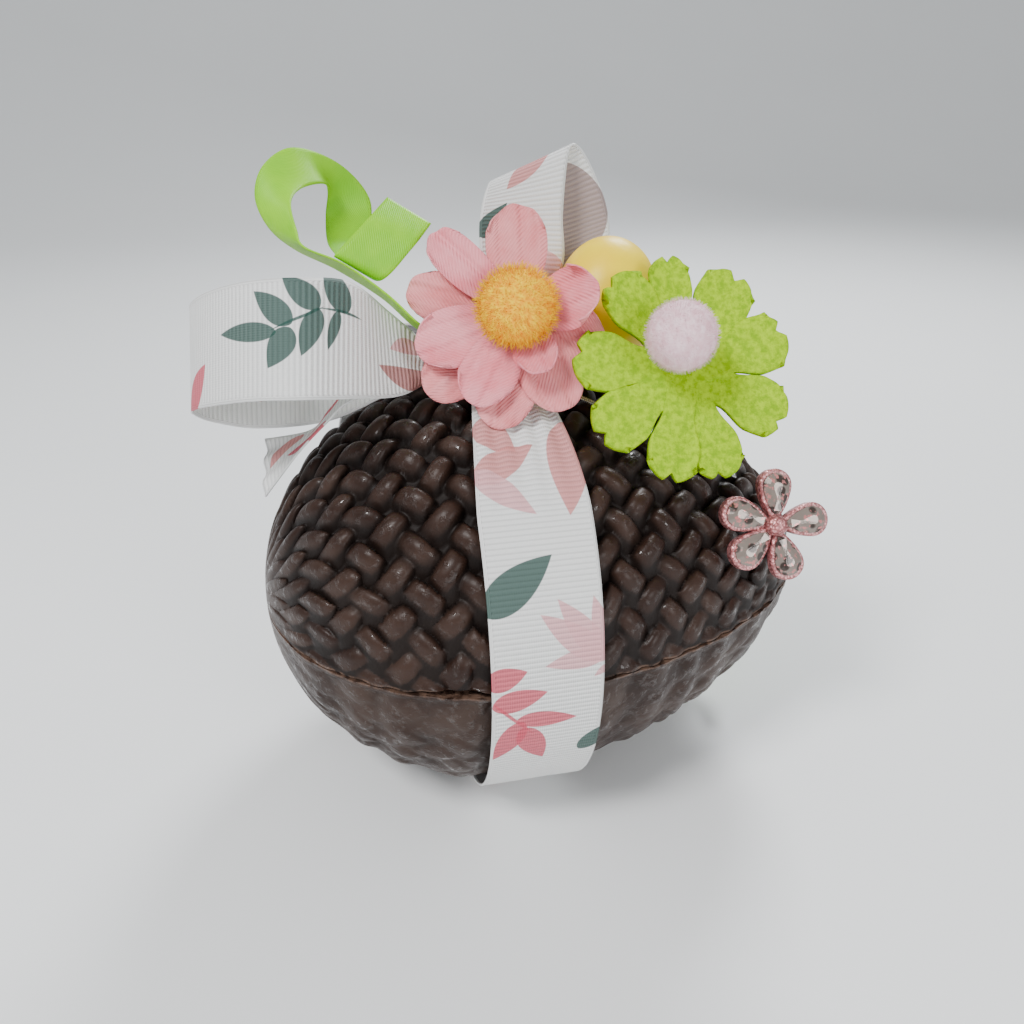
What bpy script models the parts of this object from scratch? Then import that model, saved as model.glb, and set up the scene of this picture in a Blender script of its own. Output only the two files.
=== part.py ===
"""Chocolate Easter egg with a basket-weave shell, gift ribbon and flowers.

Metres, +Z up. The egg lies on its side: +X runs along its axis to the pointed
end, -Y faces the viewer. The origin is the middle of the small flat underneath,
where the ribbon round the egg lies on the table.

The trimmings are laid out in a display frame: its origin is the top of the egg
under the ribbon, and its three axes run across, up and towards somebody who
looks at the egg from the front, a little to the left and from above.
"""
import math

import bmesh
import bpy
from mathutils import Matrix, Vector

MM = 0.001

# Egg: a body of revolution about X, widest a little left of the ribbon.
EGG_RADIUS = 0.0542
BLUNT_LENGTH = 0.0595
POINTED_LENGTH = 0.0835
POINTED_POWER = 1.683
WIDEST_X = -0.002
FLAT_DROP = 0.0529          # axis to the flat underneath
SEAM_GAP = 0.0004

# Basket weave pressed into the shell.
WEAVE_PITCH_X = 0.0114
WEAVE_PITCH_ANGLE = math.radians(12.85)
WEAVE_ORIGIN_X = -0.0020
WEAVE_DEPTH = 0.0030
STRIP_HALF_WIDTH = 0.36     # of the spacing between strips
END_FADE = 0.010

# Printed ribbon.
RIBBON_WIDTH = 0.025
RIBBON_THICKNESS = 0.0005
TOUCH_GAP = 0.0003
PINCHED_WIDTH = 0.013       # ribbon gathered under the knot
PINCH_ANGLE = math.radians(48)

AXIS_Z = RIBBON_THICKNESS + TOUCH_GAP + FLAT_DROP
BAND_RADIUS = EGG_RADIUS + 2 * TOUCH_GAP

# Display frame.
FACING_AZIMUTH = math.radians(-12)
FACING_ELEVATION = math.radians(27)
TOP = Vector((0, 0, AXIS_Z + EGG_RADIUS))
TOWARDS = Vector((
    math.sin(FACING_AZIMUTH) * math.cos(FACING_ELEVATION),
    -math.cos(FACING_AZIMUTH) * math.cos(FACING_ELEVATION),
    math.sin(FACING_ELEVATION)))
ACROSS = Vector((math.cos(FACING_AZIMUTH), math.sin(FACING_AZIMUTH), 0))
UPWARDS = TOWARDS.cross(ACROSS)

# Both edges of each loose ribbon, in display millimetres, from the knot outwards.
LEFT_LOOP = (
    ((-9, 3, 5), (-9, 0, 7)),
    ((-16, 6, 9), (-16, -3, 11)),
    ((-24, 12, 17), (-22, -7, 18)),
    ((-31, 16, 28), (-31, -9, 29)),
    ((-40, 15, 35), (-40, -10, 35)),
    ((-50, 15, 33), (-50, -10, 33)),
    ((-59, 15, 27), (-59, -10, 27)),
    ((-67, 15, 18), (-67, -10, 19)),
    ((-72, 15, 8), (-71, -10, 9)),
    ((-70, 14, 0), (-69, -11, 1)),
    ((-60, 13, -5), (-59, -12, -4)),
    ((-42, 14, -5), (-41, -10, -3)),
    ((-25, 13, -3), (-24, -3, 0)),
    ((-9, 5, 0), (-9, 2, 2)),
)
UPRIGHT_LOOP = (
    ((-3, 10, 4), (4, 10, 4)),
    ((-4, 17, 6), (11, 16, 4)),
    ((-4, 27, 8), (16, 28, 0)),
    ((-4, 37, 7), (16, 41, -2)),
    ((-2, 46, 4), (18, 58, -5)),
    ((1, 47, -3), (22, 59, -10)),
    ((5, 38, -8), (28, 47, -14)),
    ((6, 24, -7), (28, 35, -13)),
    ((3, 14, -4), (19, 17, -7)),
    ((-3, 10, -1), (5, 10, -1)),
)
LEFT_TAIL = (
    ((-9, -1, 3), (-9, -2, 5)),
    ((-21, 0, 5), (-21, -3, 8)),
    ((-34, -3, 6), (-34, -7, 10)),
    ((-40, -8, 4), (-40, -12, 9)),
    ((-45, -13, 2), (-46, -18, 8)),
    ((-57, -15, -2), (-56, -29, 4)),
)
GREEN_CURL = (
    ((-14, 8, 12), (-13, 8, 16)),
    ((-19, 10, 12), (-17, 9, 19)),
    ((-26, 16, 14), (-24, 15, 22)),
    ((-36, 22, 16), (-33, 21, 24)),
    ((-45, 26, 18), (-41, 24, 26)),
    ((-51, 31, 18), (-43, 28, 25)),
    ((-54, 38, 18), (-45, 35, 22)),
    ((-52, 45, 18), (-44, 40, 17)),
    ((-46, 50, 15), (-40, 43, 12)),
    ((-37, 49, 8), (-40, 43, 7)),
    ((-31, 43, 2), (-41, 38, 5)),
    ((-31, 33, 4), (-40, 31, 8)),
    ((-33, 26, 10), (-36, 25, 18)),
    ((-26, 19, 18), (-35, 24, 22)),
    ((-19, 26, 18), (-29, 32, 19)),
    ((-15, 33, 14), (-25, 39, 14)),
)
SATIN_THICKNESS = 0.0004

# Tails behind the egg follow its shell: both edges as millimetres along the
# axis, degrees round the shell from the top to the back, millimetres above it.
BACK_TAIL = (
    ((-4, 5, 3), (-3, 9, 3)),
    ((-14, 8, 12), (-6, 16, 10)),
    ((-26, 16, 16), (-8, 30, 12)),
    ((-34, 34, 12), (-14, 48, 9)),
    ((-40, 58, 6), (-19, 66, 5)),
    ((-42, 84, 4), (-22, 92, 4)),
)
GREEN_TAIL = (
    ((7.5, 6, 2.5), (10, 3, 2.5)),
    ((18, 24, 3), (25, 14, 3)),
    ((36, 52, 4), (44, 42, 4)),
    ((54, 86, 6), (63, 78, 6)),
    ((66, 122, 9), (76, 118, 10)),
    ((66, 160, 12), (75, 160, 14)),
    ((66, 189, 13), (68, 188, 14)),
)

# Flowers: where their middles are, in display millimetres.
PINK_CENTRE = (5, 11, 20)
PINK_TILT = (-4, 5)          # turned left and tipped up, degrees
FELT_CENTRE = (42, -1, 18)
FELT_TILT = (12, 6)
POMPOM_CENTRE = (39.5, 4.5, 28.5)
POMPOM_RADIUS = 0.0084
YELLOW_CENTRE = (26, 16, 3)
YELLOW_RADIUS = 0.0122
YELLOW_LENGTH = 0.034
GEM_CENTRE = (65, -36, 8)
GEM_TILT = (8, 0)

# Petals as (direction in degrees, length, width, lift of the tip) in mm.
PINK_FRONT = ((12, 18, 14, 6), (138, 26, 10, 3), (201, 24, 14, 2), (245, 23, 13, 2), (292, 16, 10, 6))
PINK_BACK = (
    (92, 25, 14, 2), (166, 26, 12, 1), (221, 27, 14, 0),
    (260, 26, 14, 0), (298, 24, 14, 0), (340, 20, 13, 0))
PINK_HUB = 4.5
PETAL_ROOM = 0.94            # share of the way to the next petal that a petal may fill
FELT_ANGLES = (19, 59, 98, 130, 177, 218, 259, 290, 336)
FELT_LENGTH = 26
FELT_WIDTH = 13
FELT_HUB = 11
FELT_THICKNESS = 0.0016
GEM_ANGLES = (89, 163, 223, 290, 9)
GEM_LENGTH = 13.4
GEM_WIDTH = 9.6
GEM_HUB = 3.0
GEM_THICKNESS = 0.0034

# Silver cords lie over the shell from the knot to the gem flower.
CORD_DIAMETER = 0.0008
CORD_LIFT = 0.0010
CORD_SPACING = 0.0012
CORD_POINTS = 32
CORD_START = (0.012, math.radians(-7))      # x, angle round the egg from the top
CORD_MIDDLE = (0.034, math.radians(-26))
CORD_END = (0.0555, math.radians(-33))


def clear_scene():
    for item in list(bpy.data.objects):
        bpy.data.objects.remove(item, do_unlink=True)


def finish(name, colour, roughness, metallic=0.0):
    """A plain Principled finish."""
    material = bpy.data.materials.new(name)
    material.use_nodes = True
    shader = material.node_tree.nodes["Principled BSDF"]
    shader.inputs["Base Color"].default_value = (*colour, 1.0)
    shader.inputs["Roughness"].default_value = roughness
    shader.inputs["Metallic"].default_value = metallic
    return material


def add_object(name, mesh_builder, material):
    mesh = bpy.data.meshes.new(name)
    mesh_builder.to_mesh(mesh)
    mesh_builder.free()
    mesh.shade_smooth()
    mesh.set_sharp_from_angle(angle=math.radians(50))
    mesh.materials.append(material)
    piece = bpy.data.objects.new(name, mesh)
    bpy.context.collection.objects.link(piece)
    return piece


def thicken(piece, thickness):
    """A wall of even thickness to both sides of an open sheet."""
    solidify = piece.modifiers.new("Wall", "SOLIDIFY")
    solidify.thickness = thickness
    solidify.offset = 0
    return piece


def display(point):
    """World place of a point given in display millimetres."""
    across, upwards, towards = point
    return TOP + (across * ACROSS + upwards * UPWARDS + towards * TOWARDS) * MM


def facing(centre, tilt):
    """A frame whose Z faces the viewer, turned and tipped by a few degrees."""
    turn, tip = (math.radians(value) for value in tilt)
    axes = Matrix((ACROSS, UPWARDS, TOWARDS)).transposed().to_4x4()
    swing = Matrix.Rotation(turn, 4, "Y") @ Matrix.Rotation(-tip, 4, "X")
    return Matrix.Translation(display(centre)) @ axes @ swing


# ---------------------------------------------------------------- the egg

def egg_radius(x):
    """Radius of the shell at a place along the axis."""
    along = x - WIDEST_X
    if along < 0:
        return EGG_RADIUS * math.sqrt(max(0.0, 1 - (along / BLUNT_LENGTH) ** 2))
    return EGG_RADIUS * math.sqrt(max(0.0, 1 - (along / POINTED_LENGTH) ** POINTED_POWER))


def shell_point(x, angle, lift):
    """A point above the shell, at an angle round it from the top (minus is the front)."""
    radius = egg_radius(x) + lift
    return Vector((x, radius * math.sin(angle), AXIS_Z + radius * math.cos(angle)))


def weave_height(x, angle):
    """Depth of the shell below its bump tops: two sets of diagonal strips, over and under."""
    column = (x - WEAVE_ORIGIN_X) / WEAVE_PITCH_X
    row = angle / WEAVE_PITCH_ANGLE
    falling, rising = column + row, column - row
    heights = [-1.0]
    for across, along, side in ((falling, rising, 1), (rising, falling, -1)):
        strip = round(across)
        offset = abs(across - strip) / STRIP_HALF_WIDTH
        if offset < 1:
            wave = side * math.cos(math.pi * (along - strip))
            crown = math.sqrt(1 - offset * offset)
            heights.append(0.5 * wave - 0.5 + 0.4 * (crown - 1))
    return WEAVE_DEPTH * max(heights)


def cuts_along(first, last, spacing):
    """Places of the cross-sections: in step with the weave, and closer at the two tips."""
    inset = spacing * 0.12
    start = math.ceil((first + 2 * inset - WEAVE_ORIGIN_X) / spacing)
    stop = math.floor((last - 2 * inset - WEAVE_ORIGIN_X) / spacing)
    middle = [WEAVE_ORIGIN_X + index * spacing for index in range(start, stop + 1)]
    return [first + inset, *middle, last - inset]


def half_egg(name, material, side, cuts_per_pitch):
    """Half a shell, solid: rings with the weave pressed in, and a flat seam face.

    The mould opens straight up, so going down towards the seam the wall never draws in.
    """
    first, last = WIDEST_X - BLUNT_LENGTH, WIDEST_X + POINTED_LENGTH
    steps = round(math.pi / 2 / WEAVE_PITCH_ANGLE * cuts_per_pitch)
    limit = EGG_RADIUS if side > 0 else FLAT_DROP - SEAM_GAP / 2
    body = bmesh.new()
    rings = []
    for x in cuts_along(first, last, WEAVE_PITCH_X / cuts_per_pitch):
        radius = egg_radius(x)
        fade = min(1.0, (x - first) / END_FADE, (last - x) / END_FADE)
        ring = []
        for front in (-1, 1):
            reach = 0.0
            quarter = []
            for step in range(steps, -1, -1):
                angle = math.pi / 2 * step / steps
                local = radius + weave_height(x, angle) * fade
                reach = max(reach, local * math.cos(angle))
                height = min(local * math.sin(angle), limit)
                quarter.append((x, front * reach, side * (height + SEAM_GAP / 2)))
            ring.append(quarter)
        points = ring[0][::-1] + ring[1][1:]
        rings.append([body.verts.new((x, y, z + AXIS_Z)) for x, y, z in points])
    tips = [body.verts.new((x, 0, AXIS_Z + side * SEAM_GAP / 2)) for x in (first, last)]
    for here, there in zip(rings, rings[1:]):
        count = len(here)
        for index in range(count):
            after = (index + 1) % count
            body.faces.new((here[index], there[index], there[after], here[after]))
    for tip, ring in zip(tips, (rings[0], rings[-1])):
        for index, vertex in enumerate(ring):
            body.faces.new((tip, vertex, ring[(index + 1) % len(ring)]))
    bmesh.ops.recalc_face_normals(body, faces=body.faces)
    return add_object(name, body, material)


# ---------------------------------------------------------------- ribbons

def on_shell(point):
    """World place of a point given along, round and above the shell."""
    along, degrees_round, lift = point
    return shell_point(along * MM, math.radians(degrees_round), lift * MM)


def smooth_route(stations, samples):
    """Catmull-Rom curve through each edge of a ribbon."""
    rails = [[Vector(station[edge]) for station in stations] for edge in (0, 1)]
    route = []
    spans = len(stations) - 1
    for sample in range(samples + 1):
        place = sample / samples * spans
        index = min(int(place), spans - 1)
        t = place - index
        pair = []
        for rail in rails:
            before, start = rail[max(index - 1, 0)], rail[index]
            end, after = rail[index + 1], rail[min(index + 2, spans)]
            pair.append(0.5 * (2 * start + (end - before) * t
                               + (2 * before - 5 * start + 4 * end - after) * t ** 2
                               + (3 * start - before - 3 * end + after) * t ** 3))
        route.append(pair)
    return route


def ribbon(name, material, stations, samples, thickness=RIBBON_THICKNESS, place=display):
    """A strip through its two edges; place turns a station's point into a world one."""
    body = bmesh.new()
    rows = [[body.verts.new(place(point)) for point in pair]
            for pair in smooth_route(stations, samples)]
    for here, there in zip(rows, rows[1:]):
        body.faces.new((here[0], here[1], there[1], there[0]))
    return thicken(add_object(name, body, material), thickness)


def ribbon_band(material, steps=56):
    """The ribbon right round the egg, gathered under the knot and flat on the table."""
    body = bmesh.new()
    rings = []
    for step in range(steps):
        angle = 2 * math.pi * (step + 0.5) / steps      # from the top
        from_top = min(angle, 2 * math.pi - angle)
        gathered = max(0.0, 1 - from_top / PINCH_ANGLE)
        half = (RIBBON_WIDTH - (RIBBON_WIDTH - PINCHED_WIDTH) * gathered ** 0.8) / 2
        ring = []
        for side, radius in ((-1, BAND_RADIUS), (1, BAND_RADIUS),
                             (1, BAND_RADIUS + RIBBON_THICKNESS), (-1, BAND_RADIUS + RIBBON_THICKNESS)):
            floor = 0.0 if radius > BAND_RADIUS else RIBBON_THICKNESS
            height = max(AXIS_Z + radius * math.cos(angle), floor)
            ring.append(body.verts.new((side * half, radius * math.sin(angle), height)))
        rings.append(ring)
    for here, there in zip(rings, rings[1:] + rings[:1]):
        for index in range(4):
            after = (index + 1) % 4
            body.faces.new((here[index], there[index], there[after], here[after]))
    bmesh.ops.recalc_face_normals(body, faces=body.faces)
    return add_object("ribbon_band", body, material)


def rounded_lump(name, material, centre, size, turns=12, rings=8):
    body = bmesh.new()
    bmesh.ops.create_uvsphere(body, u_segments=turns, v_segments=rings, radius=0.5)
    bmesh.ops.scale(body, vec=size, verts=body.verts)
    bmesh.ops.translate(body, vec=centre, verts=body.verts)
    return add_object(name, body, material)


# ---------------------------------------------------------------- flowers

def petal_ring(name, material, frame, petals, hub, thickness, notch=0.0, cup=1.5):
    """Petals joined round a small hub, as one sheet with a wall of even thickness.

    Where neighbours stand close, each petal narrows so that the sheet never crosses itself.
    """
    stages = ((0.30, 0.80), (0.62, 1.0), (0.86, 0.80), (1.0, 0.36))
    body = bmesh.new()
    middles = [math.radians(petal[0]) for petal in petals]
    gaps = [(after - here) % (2 * math.pi) for here, after in zip(middles, middles[1:] + middles[:1])]
    corners = []
    for here, gap in zip(middles, gaps):
        bisector = here + gap / 2
        corners.append(body.verts.new((hub * MM * math.cos(bisector), hub * MM * math.sin(bisector), 0)))
    heart = body.verts.new((0, 0, 0))
    for index, (direction, length, width, lift) in enumerate(petals):
        angle = middles[index]
        out = Vector((math.cos(angle), math.sin(angle), 0))
        side = Vector((-out.y, out.x, 0))
        middle = body.verts.new(out * hub * MM)
        row = (corners[index - 1], middle, corners[index])
        body.faces.new((heart, row[0], row[1]))
        body.faces.new((heart, row[1], row[2]))
        rooms = [math.tan(min(gap / 2, math.pi / 3)) * PETAL_ROOM for gap in (gaps[index - 1], gaps[index])]
        for stage, breadth in stages:
            reach = hub + (length - hub) * stage
            rise = Vector((0, 0, lift * stage ** 2))
            edge_rise = rise + Vector((0, 0, cup * stage * (1 - stage)))
            right, left = (min(width / 2 * breadth, reach * room) for room in rooms)
            dent = notch if stage == 1.0 else 0.0
            following = (
                body.verts.new((out * reach - side * right + edge_rise) * MM),
                body.verts.new((out * (reach - dent) + rise) * MM),
                body.verts.new((out * reach + side * left + edge_rise) * MM),
            )
            body.faces.new((row[0], following[0], following[1], row[1]))
            body.faces.new((row[1], following[1], following[2], row[2]))
            row = following
    bmesh.ops.triangulate(body, faces=body.faces)
    bmesh.ops.recalc_face_normals(body, faces=body.faces)
    bmesh.ops.transform(body, matrix=frame, verts=body.verts)
    return thicken(add_object(name, body, material), thickness)


def dome(name, material, frame, radius, depth, height):
    """A round cushion of fluff: a squashed ball in front of the flower."""
    body = bmesh.new()
    bmesh.ops.create_icosphere(body, subdivisions=3, radius=radius)
    bmesh.ops.scale(body, vec=(1, 1, depth / radius), verts=body.verts)
    bmesh.ops.translate(body, vec=(0, 0, height), verts=body.verts)
    bmesh.ops.transform(body, matrix=frame, verts=body.verts)
    return add_object(name, body, material)


def stem(name, material, start, bend, end, radius):
    """A short wire stem along a bent line."""
    curve = bpy.data.curves.new(name, "CURVE")
    curve.dimensions = "3D"
    curve.bevel_depth = radius
    curve.bevel_resolution = 1
    curve.use_fill_caps = True
    steps = 10
    spline = curve.splines.new("POLY")
    spline.points.add(steps)
    for index, point in enumerate(spline.points):
        t = index / steps
        place = start * (1 - t) ** 2 + bend * 2 * t * (1 - t) + end * t ** 2
        point.co = (*place, 1)
    curve.materials.append(material)
    piece = bpy.data.objects.new(name, curve)
    bpy.context.collection.objects.link(piece)
    return piece


def yellow_egg(material, rows=10, turns=14):
    """A little egg standing on its blunt end, in profile a stretched circle."""
    body = bmesh.new()
    bmesh.ops.create_uvsphere(body, u_segments=turns, v_segments=rows, radius=YELLOW_RADIUS)
    for vertex in body.verts:
        level = vertex.co.z / YELLOW_RADIUS
        narrow = 1 + 0.10 * level
        vertex.co.x *= narrow
        vertex.co.y *= narrow
        vertex.co.z *= YELLOW_LENGTH / 2 / YELLOW_RADIUS
    lean = Matrix.Translation(display(YELLOW_CENTRE)) @ Matrix.Rotation(math.radians(6), 4, "Y")
    lean = lean @ Matrix.Rotation(math.radians(-10), 4, "X")
    bmesh.ops.transform(body, matrix=lean, verts=body.verts)
    return add_object("yellow_egg", body, material)


def gem_flower(material):
    """Five clear teardrop petals and a knob, moulded in one."""
    petals = [(angle, GEM_LENGTH, GEM_WIDTH, 0) for angle in GEM_ANGLES]
    frame = facing(GEM_CENTRE, GEM_TILT)
    return petal_ring("gem_flower", material, frame, petals, GEM_HUB, GEM_THICKNESS, cup=0)


# ---------------------------------------------------------------- cords

def silver_cord(name, material, shift):
    curve = bpy.data.curves.new(name, "CURVE")
    curve.dimensions = "3D"
    curve.bevel_depth = CORD_DIAMETER / 2
    curve.bevel_resolution = 1
    curve.use_fill_caps = True
    spline = curve.splines.new("POLY")
    spline.points.add(CORD_POINTS - 1)
    for index, point in enumerate(spline.points):
        t = index / (CORD_POINTS - 1)
        weights = ((1 - t) ** 2, 2 * t * (1 - t), t ** 2)
        route = (CORD_START, CORD_MIDDLE, CORD_END)
        x = sum(weight * place[0] for weight, place in zip(weights, route))
        angle = sum(weight * place[1] for weight, place in zip(weights, route))
        beside = shift / EGG_RADIUS
        point.co = (*shell_point(x, angle - beside, CORD_LIFT), 1)
    curve.materials.append(material)
    piece = bpy.data.objects.new(name, curve)
    bpy.context.collection.objects.link(piece)
    return piece


def build():
    clear_scene()
    chocolate = finish("chocolate", (0.028, 0.014, 0.010), 0.32)
    printed = finish("printed_ribbon", (0.86, 0.84, 0.82), 0.6)
    green_satin = finish("green_satin", (0.30, 0.68, 0.01), 0.45)
    pink = finish("pink_cloth", (0.80, 0.27, 0.30), 0.8)
    fluff = finish("yellow_fluff", (0.90, 0.50, 0.01), 0.9)
    yellow = finish("yellow_shell", (0.90, 0.66, 0.02), 0.4)
    felt = finish("green_felt", (0.36, 0.62, 0.01), 0.95)
    pompom = finish("pink_pompom", (0.80, 0.52, 0.58), 0.95)
    gem = finish("rose_gem", (0.45, 0.22, 0.20), 0.15, 0.4)
    silver = finish("silver_cord", (0.75, 0.75, 0.76), 0.3, 1.0)

    half_egg("egg_lower_half", chocolate, -1, cuts_per_pitch=2)
    half_egg("egg_upper_half", chocolate, 1, cuts_per_pitch=3)

    ribbon_band(printed)
    rounded_lump("ribbon_knot", printed, TOP + Vector((0, 0, 0.0058)), (0.013, 0.012, 0.0095))
    ribbon("bow_loop_left", printed, LEFT_LOOP, 40)
    ribbon("bow_loop_upright", printed, UPRIGHT_LOOP, 32)
    ribbon("ribbon_tail_left", printed, LEFT_TAIL, 18)
    ribbon("ribbon_tail_back", printed, BACK_TAIL, 18, place=on_shell)
    ribbon("green_curl", green_satin, GREEN_CURL, 48, SATIN_THICKNESS)
    ribbon("green_tail", green_satin, GREEN_TAIL, 26, SATIN_THICKNESS, place=on_shell)

    pink_frame = facing(PINK_CENTRE, PINK_TILT)
    petal_ring("pink_petals_front", pink, pink_frame, PINK_FRONT, PINK_HUB, 0.0005)
    behind = pink_frame @ Matrix.Translation((0, 0, -0.0014))
    petal_ring("pink_petals_back", pink, behind, PINK_BACK, PINK_HUB, 0.0005)
    dome("pink_flower_centre", fluff, pink_frame, radius=0.0094, depth=0.0050, height=0.0056)
    calyx_base = pink_frame @ Vector((0, 0, -0.0034))
    calyx_end = TOP + Vector((0, -0.0067, 0.0085))
    stem("pink_flower_stem", green_satin, calyx_base, (calyx_base + calyx_end) / 2, calyx_end, 0.0012)

    yellow_egg(yellow)
    felt_frame = facing(FELT_CENTRE, FELT_TILT)
    felt_petals = [(angle, FELT_LENGTH, FELT_WIDTH, 1.0) for angle in FELT_ANGLES]
    petal_ring("felt_flower", felt, felt_frame, felt_petals, FELT_HUB, FELT_THICKNESS, notch=2.0)
    dome("felt_pompom", pompom, facing(POMPOM_CENTRE, (0, 0)), POMPOM_RADIUS, POMPOM_RADIUS, 0.0)
    stem_start = TOP + Vector((0.0068, -0.002, 0.004))
    stem_end = felt_frame @ Vector((0, 0, -0.0024))
    stem_bend = stem_start.lerp(stem_end, 0.5) + Vector((0, 0, -0.002))
    stem("felt_flower_stem", green_satin, stem_start, stem_bend, stem_end, 0.0008)

    gem_flower(gem)
    silver_cord("silver_cord_upper", silver, -CORD_SPACING / 2)
    silver_cord("silver_cord_lower", silver, CORD_SPACING / 2)


build()
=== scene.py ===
# %% [markdown]
# # A basket-weave chocolate egg with a printed bow
#
# The real piece is two hollow halves of dark chocolate, cast in a woven mould and joined along a
# flat seam. A grosgrain ribbon goes round it and ties on top, with cloth, felt and gem flowers.
# The CAD model gives every piece its place. Here each one gets its finished surface.

# %% Load the frame
import math
import random

import bmesh
import bpy
import numpy as np
from mathutils import Matrix, Vector, noise


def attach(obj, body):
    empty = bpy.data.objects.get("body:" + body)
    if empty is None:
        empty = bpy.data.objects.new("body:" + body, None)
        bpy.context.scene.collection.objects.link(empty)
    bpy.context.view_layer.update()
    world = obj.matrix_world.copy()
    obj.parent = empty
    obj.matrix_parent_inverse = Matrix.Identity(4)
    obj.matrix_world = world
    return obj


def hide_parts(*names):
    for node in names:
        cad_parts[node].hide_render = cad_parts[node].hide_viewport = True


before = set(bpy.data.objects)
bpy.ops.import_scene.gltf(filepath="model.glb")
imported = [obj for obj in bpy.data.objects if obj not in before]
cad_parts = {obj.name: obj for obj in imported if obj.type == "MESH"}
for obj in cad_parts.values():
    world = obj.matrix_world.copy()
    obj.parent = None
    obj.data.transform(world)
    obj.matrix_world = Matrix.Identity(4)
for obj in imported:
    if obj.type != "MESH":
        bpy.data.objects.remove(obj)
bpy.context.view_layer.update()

MM = 0.001
print("CAD nodes:", len(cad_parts))

# %% [markdown]
# ## Camera, table and light
#
# A sweet like this is shown from a little left of its front and from above. Soft light from
# a broad lamp makes the dark chocolate readable, because only reflections separate its strips.

# %% Set up the studio
FACING_AZIMUTH = math.radians(-12)
FACING_ELEVATION = math.radians(27)

camera_data = bpy.data.cameras.new("camera")
camera_data.lens = 30.55
camera_data.sensor_width = 36
camera = bpy.data.objects.new("camera", camera_data)
camera.location = (-0.03903, -0.20057, 0.17514)
camera.rotation_euler = (math.pi / 2 - FACING_ELEVATION, 0, FACING_AZIMUTH)
camera_data.dof.use_dof = False
bpy.context.scene.collection.objects.link(camera)
bpy.context.scene.camera = camera


def lamp(name, place, aim, size, power, tint=(1, 1, 1)):
    """A square soft lamp that shines from one place towards another."""
    data = bpy.data.lights.new(name, "AREA")
    data.energy = power
    data.size = size
    data.color = tint
    light = bpy.data.objects.new(name, data)
    light.location = place
    light.rotation_euler = (Vector(aim) - Vector(place)).to_track_quat("-Z", "Y").to_euler()
    bpy.context.scene.collection.objects.link(light)


lamp("key", (-0.45, -0.35, 0.75), (0, 0, 0.06), 0.22, 7.0)
lamp("window", (0.35, 0.55, 0.65), (0, 0, 0.08), 0.25, 6.5, (0.95, 0.98, 1.0))
lamp("front", (0.35, -0.75, 0.35), (0, 0, 0.05), 0.3, 3.0)

world = bpy.data.worlds.new("room")
world.use_nodes = True
world.node_tree.nodes["Background"].inputs["Color"].default_value = (0.90, 0.93, 0.95, 1)
world.node_tree.nodes["Background"].inputs["Strength"].default_value = 0.62
bpy.context.scene.world = world
print("camera looks", round(math.degrees(FACING_ELEVATION)), "degrees down")

# %% [markdown]
# ## Paints written as sums
#
# A finish is a few masks and mixtures. `Value` lets a shader number take part in ordinary
# Python sums, and `Paint` holds one material with its nodes.

# %% Build the paint box
class Value:
    """A shader number that Python sums turn into Math nodes."""

    def __init__(self, paint, socket):
        self.paint = paint
        self.socket = socket

    def sum(self, operation, first, second=0.0):
        return self.paint.node("Math", {0: first, 1: second}, operation=operation)

    def __add__(self, other):
        return self.sum("ADD", self, other)

    def __radd__(self, other):
        return self.sum("ADD", other, self)

    def __sub__(self, other):
        return self.sum("SUBTRACT", self, other)

    def __rsub__(self, other):
        return self.sum("SUBTRACT", other, self)

    def __mul__(self, other):
        return self.sum("MULTIPLY", self, other)

    def __rmul__(self, other):
        return self.sum("MULTIPLY", other, self)

    def __truediv__(self, other):
        return self.sum("DIVIDE", self, other)

    def __pow__(self, other):
        return self.sum("POWER", self, other)

    def __abs__(self):
        return self.sum("ABSOLUTE", self)

    def sine(self):
        return self.sum("SINE", self)

    def at_least(self, floor):
        return self.sum("MAXIMUM", self, floor)

    def step(self, low, high):
        """0 below low, 1 above high, and a soft edge between."""
        return self.paint.node("MapRange", {"Value": self, "From Min": low, "From Max": high},
                               interpolation_type="SMOOTHSTEP")


class Paint:
    """One material: a Principled shader and what feeds it."""

    def __init__(self, name, **constants):
        self.material = bpy.data.materials.new(name)
        self.material.use_nodes = True
        self.tree = self.material.node_tree
        self.shader = self.tree.nodes["Principled BSDF"]
        for socket, value in constants.items():
            self.shader.inputs[socket.replace("_", " ")].default_value = value

    def node(self, kind, feeds=None, output=0, **settings):
        made = self.tree.nodes.new("ShaderNode" + kind)
        for setting, value in settings.items():
            setattr(made, setting, value)
        for socket, value in (feeds or {}).items():
            self.feed(made.inputs[socket], value)
        return Value(self, made.outputs[output])

    def feed(self, socket, value):
        if isinstance(value, Value):
            self.tree.links.new(value.socket, socket)
        else:
            socket.default_value = value

    def wear(self, **looks):
        """Feeds the shader's sockets and returns the material."""
        for socket, value in looks.items():
            self.feed(self.shader.inputs[socket.replace("_", " ")], value)
        return self.material

    def place(self):
        return self.node("TexCoord", output="Object")

    def cloth_place(self):
        """Millimetres across and along a strip, from its own UV map."""
        split = self.node("SeparateXYZ", {0: self.node("UVMap", uv_map="UVMap")}).socket.node
        return Value(self, split.outputs[0]), Value(self, split.outputs[1])

    def stored(self, name):
        return self.node("Attribute", output="Fac", attribute_name=name)

    def grain(self, scale, detail=3.0, roughness=0.55):
        return self.node("TexNoise", {"Vector": self.place(), "Scale": scale, "Detail": detail,
                                      "Roughness": roughness})

    def cells(self, scale):
        return self.node("TexVoronoi", {"Vector": self.place(), "Scale": scale})

    def blend(self, amount, first, second):
        """A colour between two, by an amount from 0 to 1."""
        return self.node("Mix", {0: amount, 6: as_colour(first), 7: as_colour(second)}, output=2,
                         data_type="RGBA")

    def relief(self, height_mm):
        """Turns a height in millimetres into a bumped normal."""
        return self.node("Bump", {"Height": height_mm, "Distance": MM, "Strength": 1.0})


def as_colour(value):
    return value if isinstance(value, Value) else (*value, 1.0)


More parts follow.
